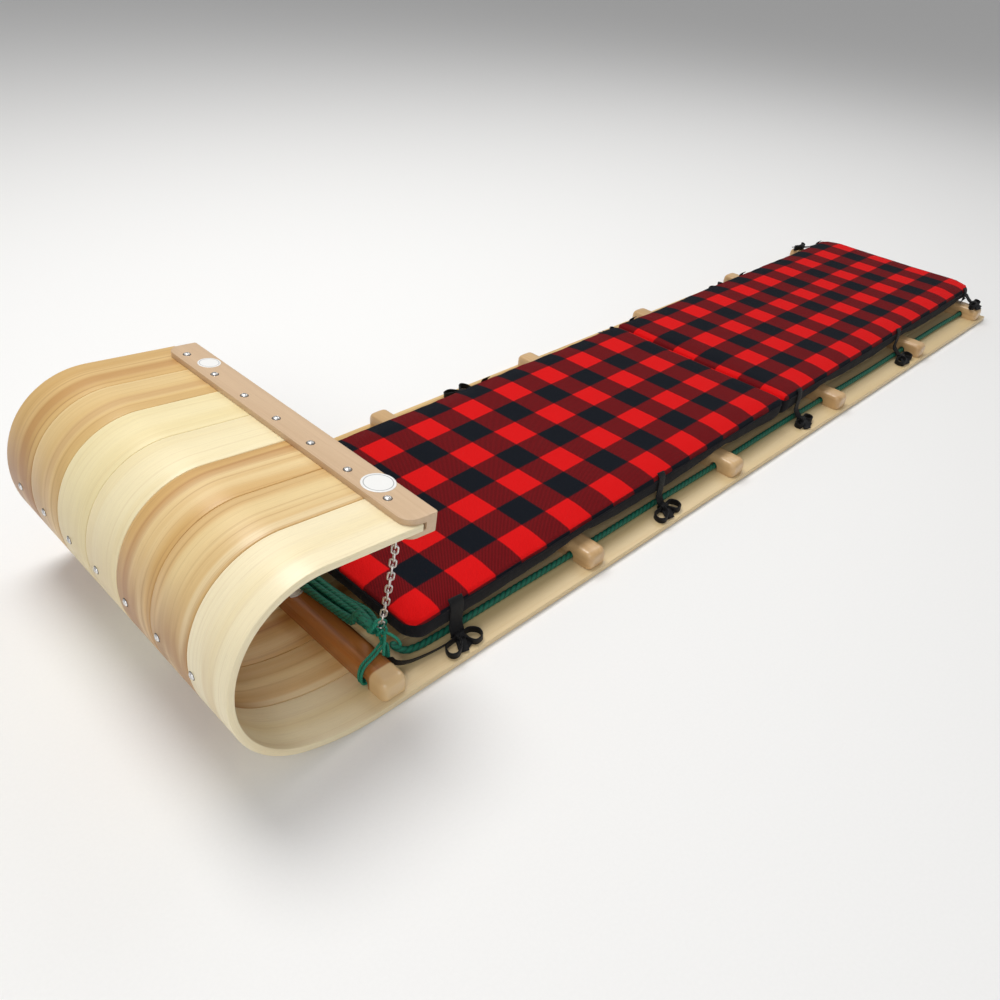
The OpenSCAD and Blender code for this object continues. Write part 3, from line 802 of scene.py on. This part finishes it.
def screw_head(shape, at, out, flat=False):
    """A screw head with a cross recess, in mm. out points away from the wood; a flat head is sunk."""
    out, side, other = across_ways(out)
    angle, rings = angles_round(40), []
    for far in (0.04, 0.12, 0.2, 0.3, 0.4, 0.5, 0.62, 0.74, 0.85, 0.93, 1.0):
        x, y = HEAD_R * far * np.cos(angle), HEAD_R * far * np.sin(angle)
        dome = 0.15 * (1 - far ** 4) if flat else HEAD_H * (1 - far ** 2) ** 0.5
        arm = np.minimum(np.abs(x), np.abs(y)) / HEAD_R
        recess = np.clip((0.16 - arm) / 0.06, 0, 1) * np.clip((0.58 - far) / 0.08, 0, 1)
        z = dome - recess * 0.32 * HEAD_R
        rings.append(np.array(at) + side * x[:, None] + other * y[:, None] + out * z[:, None])
    rings.append(rings[-1] - out * 0.6)
    shape.loft(np.array(rings) * MM)


def shadow_ring(shape, at, out):
    """Painted contact shadow: a dark ring round a head where it sinks a little into the wood."""
    inner, outer = HEAD_R - 0.1, HEAD_R + 0.7
    out, side, other = across_ways(out)
    angle = angles_round(32)
    rings = []
    for r, z in ((inner, 0.02), (inner, 0.22), ((inner + outer) / 2, 0.26), (outer, 0.14), (outer, -0.3)):
        around = side * np.cos(angle)[:, None] + other * np.sin(angle)[:, None]
        rings.append(np.array(at) + r * around + out * z)
    shape.loft(np.array(rings) * MM, slot=1)


def add_screws():
    """One screw per slat through the header bar, through the curl and, from below, into each
    crossbar, where the outer two sit further out than the slats' middles."""
    out_of_header = np.array([-LIP_IN[0], 0, -LIP_IN[1]])
    header, curl, under = Shape(), Shape(), Shape()
    for k in range(-3, 4):
        at = lip_point(101, -1 + 62.2 * k, -HEADER_LIP)
        screw_head(header, at, out_of_header)
        shadow_ring(header, at, out_of_header)
        at = np.array([FRONT_C[0] + FRONT_R, BATTEN_Y + 62 * k, FRONT_C[1]])
        screw_head(curl, at, (1, 0, 0))
        shadow_ring(curl, at, (1, 0, 0))
        for x in BAR_XS:
            y = math.copysign(212, k) if abs(k) == 3 else SLAT_PITCH * k
            screw_head(under, (x, y, 0.05), (0, 0, -1), flat=True)
    header.piece("header_screw_heads", [STEEL, SHADOW_RING_STEEL], BASE, "steel", ["header_screws"], sharp=50)
    curl.piece("curl_screw_heads", [STEEL, SHADOW_RING_STEEL], BASE, "steel", ["curl_screws"], sharp=50)
    under.piece("crossbar_screw_heads", [STEEL], BASE, "steel", ["crossbar_screws"], sharp=50)


LINKS, LINK_WIRE, LINK_HALF_W = 14, 2.0, 3.2


def add_chains():
    for name, side in SIDES.items():
        top = np.array([CHAIN_TOP[0], HEADER_SHIFT + side * CHAIN_TOP[1], CHAIN_TOP[2]])
        foot = np.array([KNOT_P[0], side * KNOT_P[1], KNOT_P[2] + 4])
        t = (np.arange(LINKS) + 0.5) / LINKS
        centres = top + (foot - top) * t[:, None] + np.outer(np.sin(math.pi * t), (-1.2, 0.5 * side, 0))
        half = (np.linalg.norm(foot - top) / LINKS + LINK_WIRE) / 2
        chain = Shape()
        for k, centre in enumerate(centres):
            way = unit(centres[min(k + 1, LINKS - 1)] - centres[max(k - 1, 0)])
            turn = math.radians(45 + 90 * (k % 2) + 9 * math.sin(2.3 * k))
            base = unit(np.cross(way, (1, 0, 0)))
            across = base * math.cos(turn) + np.cross(way, base) * math.sin(turn)
            line = []
            for a in angles_round(40):
                c, s = LINK_HALF_W * math.cos(a), LINK_HALF_W * math.sin(a)
                straight = math.copysign(half - LINK_HALF_W, c) if abs(math.cos(a)) > 0.02 else 0
                line.append(centre + way * (c + straight) + across * s)
            out, normal = carried_frames(line, np.cross(way, across), True)
            rings = tube_rings(np.array(line), LINK_WIRE / 2, angles_round(12), out, normal)
            chain.loft(rings * MM, loop=True)
        chain.piece(f"chain_{name}_links", [STEEL], BASE, "steel", [f"chain_{name}"])


LABEL_THICK = 0.3


def disc(shape, surface, radius):
    """Adds a thin disc that lies on a surface, given as a function of two places and a lift."""
    top, notes = [], []
    angle = angles_round(64)
    for far in list(np.linspace(0.02, 1, 14)) + [1.012]:
        lift, r = LABEL_THICK if far <= 1 else 0.0, radius * far
        top.append([surface(r * math.cos(a), r * math.sin(a), lift) for a in angle])
        notes.append([(far, 0, 0) for a in angle])
    shape.loft(np.array(top) * MM, np.array(notes))


def bar_profile(across, lift):
    """Place (x, z) on the front crossbar's rounded top, a way across from its middle, in mm."""
    flat, side = BAR_W / 2 - BAR_EDGE_R, math.copysign(1, across)
    if abs(across) <= flat:
        return BAR_XS[0] + across, BAR_TOP + lift
    a = min((abs(across) - flat) / BAR_EDGE_R, math.pi / 2)
    return (BAR_XS[0] + side * (flat + (BAR_EDGE_R + lift) * math.sin(a)),
            BAR_TOP - BAR_EDGE_R + (BAR_EDGE_R + lift) * math.cos(a))


def add_labels():
    labels, label = Shape(), Shape()
    for y, radius in ((159, 17.5), (-155, 13)):
        def on_header(a, b, lift):
            return lip_point(HEADER_U + 22 + a, y + b, -HEADER_LIP - lift)

        disc(labels, on_header, radius)
    labels.piece("header_label_discs", [FILM], BASE, "label", ["labels_header"], "disc")

    def on_bar(a, b, lift):
        x, z = bar_profile(2 + a, lift)
        return x, 38 + b, z

    disc(label, on_bar, 14)
    label.piece("crossbar_label_disc", [FILM], BASE, "label", ["label_crossbar"], "disc")


add_screws()
add_chains()
add_labels()

# The screw eyes keep their CAD shape and get the plated steel
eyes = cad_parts["chain_eyes"].data.materials
eyes.clear()
eyes.append(STEEL)


# ---------------------------------------------------------------- seat pad
def pad_place(x, y):
    """From the pad's own axes to the toboggan's, in mm."""
    c, s = math.cos(PAD_TURN), math.sin(PAD_TURN)
    return c * x - s * y, s * x + c * y + PAD_SHIFT


def slab(x0, x1, low, high, width, tail_corner, front_corner, steps=6):
    """Slab with round upright corners, from sizes in mm along the pad's own axes."""
    front, tail = front_corner, tail_corner
    outline = round_corners([(x1 - front, width / 2 - front, front), (x0 + tail, width / 2 - tail, tail),
                             (x0 + tail, tail - width / 2, tail),
                             (x1 - front, front - width / 2, front)], steps)
    rings = [[(x, y, z) for x, y in outline] for z in (low, high)]
    return Shape().loft(np.array(rings) * MM)


def evaluated(obj):
    graph = bpy.context.evaluated_depsgraph_get()
    graph.update()
    return bpy.data.meshes.new_from_object(obj.evaluated_get(graph))


SWELL = 4.5  # how far the cloth may move out, in mm
VOXEL = 6 * MM
SIM_FRAMES = 20
CLOTH_SETTINGS = dict(quality=5, mass=0.3, tension_stiffness=20, compression_stiffness=12,
                      bending_stiffness=0.8, use_pressure=True, uniform_pressure_force=4)
SEAM_Z = 53  # height of the seam between the checked top and the dark sides
TAIL_SWELL = 17  # how far the soft tail end reaches past its foam
SAG = 13  # how far the underside hangs down between two crossbars


def inflated(shape, name):
    """The slab remeshed and blown up a little as cloth, each point moved at most by SWELL."""
    mesh = bpy.data.meshes.new(name)
    mesh.from_pydata(np.concatenate(shape.points).tolist(), [], shape.faces)
    obj = bpy.data.objects.new(name, mesh)
    bpy.context.scene.collection.objects.link(obj)
    remesh = obj.modifiers.new("remesh", "REMESH")
    remesh.mode, remesh.voxel_size = "VOXEL", VOXEL
    obj.data = evaluated(obj)
    obj.modifiers.clear()
    rest = np.array([v.co for v in obj.data.vertices])
    cloth = obj.modifiers.new("cloth", "CLOTH")
    for key, value in CLOTH_SETTINGS.items():
        setattr(cloth.settings, key, value)
    cloth.settings.effector_weights.gravity = 0
    cloth.collision_settings.use_collision = False
    cloth.point_cache.frame_start, cloth.point_cache.frame_end = 1, SIM_FRAMES
    for step in range(1, SIM_FRAMES + 1):
        bpy.context.scene.frame_set(step)
    moved = np.array([v.co for v in evaluated(obj).vertices])
    bpy.context.scene.frame_set(1)
    shift = moved - rest
    far = np.linalg.norm(shift, axis=1, keepdims=True)
    shift *= np.minimum(1, SWELL * MM / np.maximum(far, 1e-9))
    obj.modifiers.clear()
    obj.data.vertices.foreach_set("co", (rest + shift).ravel())
    divide = obj.modifiers.new("divide", "SUBSURF")
    divide.levels = divide.render_levels = 1
    result = evaluated(obj)
    bpy.data.objects.remove(obj)
    return result


# Where the check's grid starts on each section: (x, y) of a corner and the grid's turn
GRIDS = {"front": ((686, 157), 0.024), "rear": ((-170, 140), 0.0085)}


def weave_vectors(mesh, section, x0, x1):
    """Gives each face corner its place in the check, with the cloth folded down over the sides."""
    (ox, oy), turn = GRIDS[section]
    co = vertex_places(mesh) / MM
    c, s = math.cos(PAD_TURN), math.sin(PAD_TURN)
    px, py = co[:, 0], co[:, 1] - PAD_SHIFT
    own = np.column_stack([c * px + s * py, -s * px + c * py])
    drop = np.clip(PAD_HIGH - 4 - co[:, 2], 0, None)
    corner = np.zeros(len(mesh.loops), int)
    mesh.loops.foreach_get("vertex_index", corner)
    totals = np.zeros(len(mesh.polygons), int)
    mesh.polygons.foreach_get("loop_total", totals)
    face = np.repeat(np.arange(len(totals)), totals)
    middle = np.zeros((len(totals), 2))
    np.add.at(middle, face, own[corner])
    middle /= totals[:, None]
    to_side = PAD_W / 2 - np.abs(middle[:, 1])
    to_end = np.minimum(middle[:, 0] - x0, x1 - middle[:, 0])
    over_side = (to_side < to_end)[face]
    x, y, d = co[corner, 0].copy(), co[corner, 1].copy(), drop[corner]
    y += np.where(over_side, np.sign(middle[face, 1]) * d, 0)
    x += np.where(over_side, 0, np.sign(middle[face, 0] - (x0 + x1) / 2) * d)
    c, s = math.cos(turn), math.sin(turn)
    i = ((ox - x) * c + (oy - y) * s) / CHECK
    j = (-(x - ox) * s + (y - oy) * c) / CHECK
    data = np.column_stack([i, j, np.zeros_like(i)]).astype(np.float32)
    mesh.attributes.new("weave", "FLOAT_VECTOR", "CORNER").data.foreach_set("vector", data.ravel())


def rumpled(mesh, seed):
    """Small dents and folds, stronger along the sides, and an underside flat on the crossbars."""
    co = vertex_places(mesh)
    for p in co:
        up = (p[2] - PAD_LOW * MM) / ((PAD_HIGH - PAD_LOW) * MM)
        edge = max(0.0, 1 - (PAD_W / 2 * MM - abs(p[1] - PAD_SHIFT * MM)) / 0.06)
        broad = noise.noise(Vector((p[0] * 7 + seed, p[1] * 9, p[2] * 12)))
        crease = noise.noise(Vector((p[0] * 38 + seed, p[1] * 14, p[2] * 30)))
        p[2] += up * (broad * 1.2 + crease * 0.5 * (0.3 + edge)) * MM
        p[1] += math.copysign(1, p[1] - PAD_SHIFT * MM) * edge * (crease * 1.0 + broad * 0.8) * MM
        if hang(p[0] / MM) == 0:
            p[2] = max(p[2], PAD_LOW * MM)
    mesh.vertices.foreach_set("co", co.ravel())


def fitted(co, x0, x1):
    """The swollen shape again, stretched to the pad's own length, width and height, in mm."""
    low, high = co.min(0), co.max(0)
    want_low = np.array([x0, -PAD_W / 2, PAD_LOW])
    want_high = np.array([x1, PAD_W / 2, PAD_HIGH])
    return want_low + (co - low) / (high - low) * (want_high - want_low)


def hang(x):
    """How far a point at x hangs between the crossbars on both sides of it, from 0 to 1."""
    bars = np.array(sorted(BAR_XS))
    k = np.clip(np.searchsorted(bars, x) - 1, 0, len(bars) - 2)
    t = (x - bars[k] - BAR_W / 2 - 4) / (bars[k + 1] - bars[k] - BAR_W - 8)
    return np.where((t > 0) & (t < 1), np.sin(math.pi * np.clip(t, 0, 1)) ** 0.4, 0)


def seam_line(x0, x1, tail_corner, front_corner):
    """Closed line round a pad section at the height of its seam, in mm."""
    rings = slab(x0 + 1, x1 - 1, 0, SEAM_Z, PAD_W - 2, tail_corner, front_corner).points[0] / MM
    line = rings[len(rings) // 2:]
    line = evenly(np.vstack([line, line[:1]]), 4)[:-1]
    x, y = pad_place(line[:, 0], line[:, 1])
    return np.column_stack([x, y, np.full(len(x), SEAM_Z)])


def section_mesh(section, x0, x1, seed, corners):
    """One pad section, simulated, then fitted, sagging between the bars, rumpled and checked."""
    blank = slab(x0 + SWELL, x1 - SWELL, PAD_LOW + SWELL, PAD_HIGH - SWELL, PAD_W - 2 * SWELL,
                 *corners)
    mesh = inflated(blank, "pad_blank_" + section)
    co = fitted(vertex_places(mesh) / MM, x0, x1)
    x, y = pad_place(co[:, 0], co[:, 1])
    depth = np.clip((SEAM_Z - co[:, 2]) / (SEAM_Z - PAD_LOW), 0, 1)
    z = co[:, 2] - SAG * hang(x) * depth ** 1.4
    mesh.vertices.foreach_set("co", (np.column_stack([x, y, z]) * MM).ravel())
    rumpled(mesh, seed)
    weave_vectors(mesh, section, x0, x1)
    mesh.shade_smooth()
    mesh.materials.clear()
    return mesh


def add_pads():
    sections = (("front", FOLD_X + 0.3, PAD_FRONT, BASE, 3.0, (14, 22)),
                ("rear", PAD_TAIL - TAIL_SWELL, FOLD_X - 0.3, REAR, 7.0, (38, 14)))
    for section, x0, x1, body, seed, corners in sections:
        mesh = section_mesh(section, x0, x1, seed, corners)
        pad = place(f"pad_{section}_checked", mesh, [CLOTH, BASE_CLOTH], body,
                    [f"pad_cover_{section}", f"pad_foam_{section}"])
        for face in mesh.polygons:
            face.material_index = int(face.center.z < SEAM_Z * MM)
        piping = Shape()
        laid(piping, seam_line(x0, x1, *corners) * MM, 3.2 * MM, 40 * MM, strands=4, loop=True)
        piping.piece(f"pad_{section}_piping", [BASE_CLOTH], body, "checked_cloth", (), "strand")


add_pads()


# ---------------------------------------------------------------- ribbon ties
def ribbon(shape, path, width_way, width=12, thick=0.9, loop=False):
    """Adds a flat ribbon along a path, in mm, with its width along width_way."""
    path = np.asarray(path, float)
    ahead = np.roll(path, -1, 0) - np.roll(path, 1, 0) if loop else np.gradient(path, axis=0)
    tangent = unit(ahead)
    wide = np.asarray(width_way, float)
    wide = unit(wide - tangent * (tangent @ wide)[:, None])
    normal = np.cross(tangent, wide)
    flat = rounded_section(width, thick, thick * 0.45, 2) - (0, thick / 2)
    rings = path[:, None] + flat[None, :, :1] * wide[:, None] + flat[None, :, 1:] * normal[:, None]
    shape.loft(rings * MM, loop=loop)


TIE_XS = {1: 620, 2: 232, 3: -155, 4: -540, 5: -880}
OPEN_BOWS = (1, 2, 4)
BOW_Y = 207  # a bow's distance from the toboggan's middle line
# The front tie's second ribbon, to the lashing: (ahead of the tie, aside, height) in mm
FRONT_LEAD = [(-2, 206, 13), (22, 205, 11), (48, 203, 12), (70, 200, 15), (84, 197, 22), (90, 193, 30)]


def pad_edge(x, side):
    return pad_place(x, side * PAD_W / 2)[1]


def bow(tie, centre, side, rng, open_loop):
    """A bow of flat ribbon that lies on its side: two loops, two tails and the knot."""
    loops = ((22, 30), (158, 27)) if open_loop else ((8, 21), (165, 24))
    for angle, reach in loops:
        a = math.radians(angle + rng.uniform(-9, 9))
        out = unit(np.array([math.cos(a), side * abs(math.sin(a)) * 1.1, 0]))
        over = np.array([-out[1], out[0], 0])
        spread = (9 if open_loop else 5) + rng.uniform(-1, 2)
        lean = rng.uniform(1.0, 3.0)
        steps = [(0, 0, 0), (0.3, -0.5, 0.0), (0.65, -1.0, -1.0), (0.95, -0.45, -1.6),
                 (1.0, 0.25, -1.0), (0.85, 0.75, 0.3), (0.5, 0.8, lean), (0.2, 0.35, 1.6), (0, 0, 0.6)]
        loop = [centre + out * (reach * f) + over * (spread * g) + (0, 0, h) for f, g, h in steps]
        ribbon(tie, smooth_path(loop, 1.5), (0.15, 0.1, 1), 10.5, 1.8)
    for angle, reach in ((58, 21), (112, 17)):
        a = math.radians(angle + rng.uniform(-12, 12))
        out = np.array([math.cos(a), side * math.sin(a), 0])
        over = np.array([-out[1], out[0], 0.3])
        reach = min(reach, 20 / max(0.3, abs(math.sin(a))))
        tail = [centre, centre + out * reach * 0.35 + (0, 0, 1.0),
                centre + out * reach * 0.7 - (0, 0, 1.6), centre + out * reach - (0, 0, 3.4)]
        ribbon(tie, smooth_path(tail, 1.5), over, 12, 1.3)
    a = angles_round(32)
    band = centre + np.column_stack([np.zeros(32), 5.2 * np.cos(a), 0.6 + 4.8 * np.sin(a)])
    ribbon(tie, band, (1, 0, 0), 12, 2.4, loop=True)


def add_ties():
    """Each tie's strap down the pad's side and its bow. Ties 3 to 5 ride on the rear section."""
    rng = np.random.default_rng(4)
    for name, side in SIDES.items():
        for number, x in TIE_XS.items():
            rest = BAR_TOP if number == 5 else SLAT_T
            edge, bow_y = pad_edge(x, side), side * BOW_Y
            centre = np.array([x, bow_y, rest + 5.4])
            tie = Shape()
            strap = [(x - 3, edge - side * 4, 63.5), (x - 2.5, edge + side * 0.4, 59),
                     (x - 2, edge + side * 2.2, 50), (x - 1, edge + side * 2.6, 38),
                     (x, edge + side * 3.4, rest + 20), (x, (edge + bow_y) / 2 + side * 2, rest + 11),
                     (x, bow_y - side * 3, rest + 6.8)]
            ribbon(tie, smooth_path(strap, 2.0), (1, 0, 0), 20 if number == 1 else 14, 1.4)
            bow(tie, centre, side, rng, number in OPEN_BOWS)
            if number == 1:
                lead = [(x + dx, side * y, z) for dx, y, z in FRONT_LEAD]
                ribbon(tie, smooth_path(lead, 2.0), (0, 0.5, 1))
            body = REAR if number >= 3 else BASE
            tie.piece(f"tie_{name}_{number}_ribbon", [RIBBON], body, "ribbon", [f"tie_{name}_{number}"])


add_ties()


# ---------------------------------------------------------------- floor and lights
FLOOR_REACH, FLOOR_GAP = 20, 0.0008


def add_stage():
    s = Shader("floor_paper", Specular_IOR_Level=0.1)
    grain = s.noise(s.object_place(), 300.0, 2.0)
    s.bump(grain, 0.0001, 0.1)
    paper = s.done(s.mix(grain, (0.88, 0.88, 0.88), (0.91, 0.91, 0.91)), 0.8)
    mesh = bpy.data.meshes.new("floor")
    far = FLOOR_REACH
    mesh.from_pydata([(-far, -far, 0), (far, -far, 0), (far, far, 0), (-far, far, 0)], [], [(0, 1, 2, 3)])
    floor = bpy.data.objects.new("floor", mesh)
    floor.location.z = -FLOOR_GAP
    mesh.materials.append(paper)
    bpy.context.scene.collection.objects.link(floor)


def area_light(name, at, aim, size, power, colour=(1, 1, 1)):
    data = bpy.data.lights.new(name, "AREA")
    data.shape, data.size, data.energy, data.color = "DISK", size, power, colour
    light = bpy.data.objects.new(name, data)
    light.location = at
    light.rotation_euler = (Vector(aim) - Vector(at)).to_track_quat("-Z", "Y").to_euler()
    bpy.context.scene.collection.objects.link(light)


def add_lights():
    area_light("key", (0.5, -0.9, 2.8), (0.1, 0, 0), 1.6, 52, (1.0, 0.985, 0.955))
    area_light("fill", (2.4, 1.6, 1.9), (0.5, 0, 0.05), 1.4, 22)
    area_light("back", (-2.0, -0.6, 2.4), (-0.4, 0, 0), 1.6, 14)
    world = bpy.data.worlds.new("studio")
    world.use_nodes = True
    background = world.node_tree.nodes["Background"].inputs
    background["Color"].default_value = (1, 1, 1, 1)
    background["Strength"].default_value = 0.34
    bpy.context.scene.world = world
    bpy.context.scene.view_settings.view_transform = "Standard"


add_stage()
add_lights()
